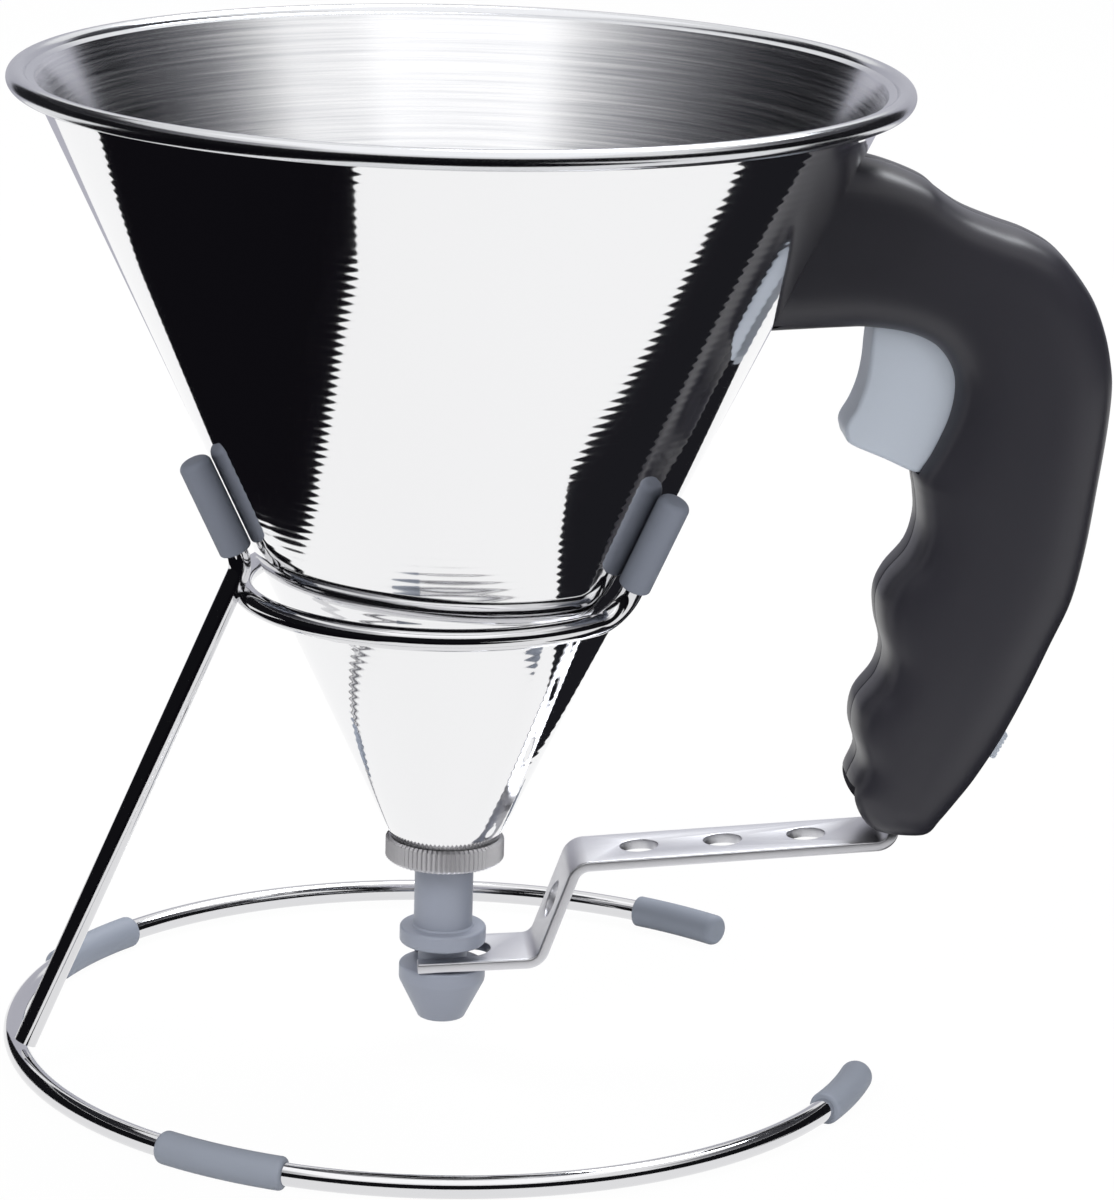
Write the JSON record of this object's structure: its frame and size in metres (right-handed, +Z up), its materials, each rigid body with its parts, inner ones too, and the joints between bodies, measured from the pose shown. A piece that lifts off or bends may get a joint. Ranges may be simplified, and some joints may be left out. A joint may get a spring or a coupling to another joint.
{
  "type": "piston funnel with stand",
  "caption": "Hand-held metering funnel: steel cone, side grip with a trigger that lifts a hollow valve piston through a bent strip lever, resting in a wire stand.",
  "frame": {"origin": "middle of the whole object's footprint, on the table", "axes": "+X from the funnel's axis towards the handle, +Y away from the viewer's side, +Z up along the funnel's axis"},
  "size_m": [0.186, 0.151, 0.1699],
  "materials": {
    "wire": "bright plated wire",
    "sleeve_rubber": "matt grey-blue",
    "polished_steel": "mirror-polished stainless steel outside, fine brushing inside",
    "steel": "plain",
    "seal_plastic": "white",
    "knurled_steel": "knurled",
    "seal_rubber": "black",
    "grey_plastic": "satin grey-blue",
    "strip_steel": "brushed along the strip",
    "trigger_plastic": "satin light grey-blue",
    "handle_plastic": "finely grained anthracite"
  },
  "bodies": {
    "stand": {"base_ring": "wire", "support_leg": "wire", "cradle_ring": "wire", "base_sleeves": "sleeve_rubber", "end_caps": "sleeve_rubber", "cradle_sleeves": "sleeve_rubber"},
    "funnel": {"cone": "polished_steel", "spout": "steel", "seal_sleeve": "seal_plastic", "handle_left": "handle_plastic", "handle_right": "handle_plastic", "handle_bracket": "strip_steel", "bracket_screws": "steel", "handle_screws": "steel", "trigger_pin": "steel", "lower_guide": "seal_plastic", "upper_guide": "seal_plastic", "return_spring": "steel"},
    "collar": {"collar_nut": "knurled_steel", "seat_seal": "seal_rubber"},
    "piston": {"piston": "grey_plastic", "piston_o_ring": "seal_rubber"},
    "linkage": {"lever": "strip_steel", "pull_bar": "strip_steel", "bar_rivets": "steel", "link_pin": "steel", "spring_washer": "steel"},
    "trigger": {"trigger": "trigger_plastic"},
    "cursor": {"flow_cursor": "trigger_plastic"}
  },
  "joints": [
    {"name": "funnel_lift", "type": "slide", "parent": "stand", "child": "funnel", "axis": [0, 0, 1], "range_m": [0, 0.06]},
    {"name": "collar_turn", "type": "hinge", "parent": "funnel", "child": "collar", "pos_m": [-0.01755, 0, 0.0356], "axis": [0, 0, 1], "range_deg": [0, 540]},
    {"name": "lever_lift", "type": "slide", "parent": "funnel", "child": "linkage", "axis": [0, 0, 1], "range_m": [0, 0.00922], "stiffness_N_per_m": 300, "springref_m": -0.01, "deforming": ["return_spring"]},
    {"name": "piston_slide", "type": "slide", "parent": "funnel", "child": "piston", "axis": [0, 0, 1], "range_m": [0, 0.00922]},
    {"name": "trigger_swing", "type": "hinge", "parent": "funnel", "child": "trigger", "pos_m": [0.05855, 0, 0.12999], "axis": [0, -1, 0], "range_deg": [0, 26.05]},
    {"name": "flow_cursor_slide", "type": "slide", "parent": "funnel", "child": "cursor", "axis": [0.4552, 0, 0.8904], "range_m": [0, 0.008]}
  ],
  "couplings": [
    {"joint": "piston_slide", "follows": "lever_lift", "ratio": 1},
    {"joint": "trigger_swing", "follows": "lever_lift", "rad_per_m": 49.202}
  ]
}
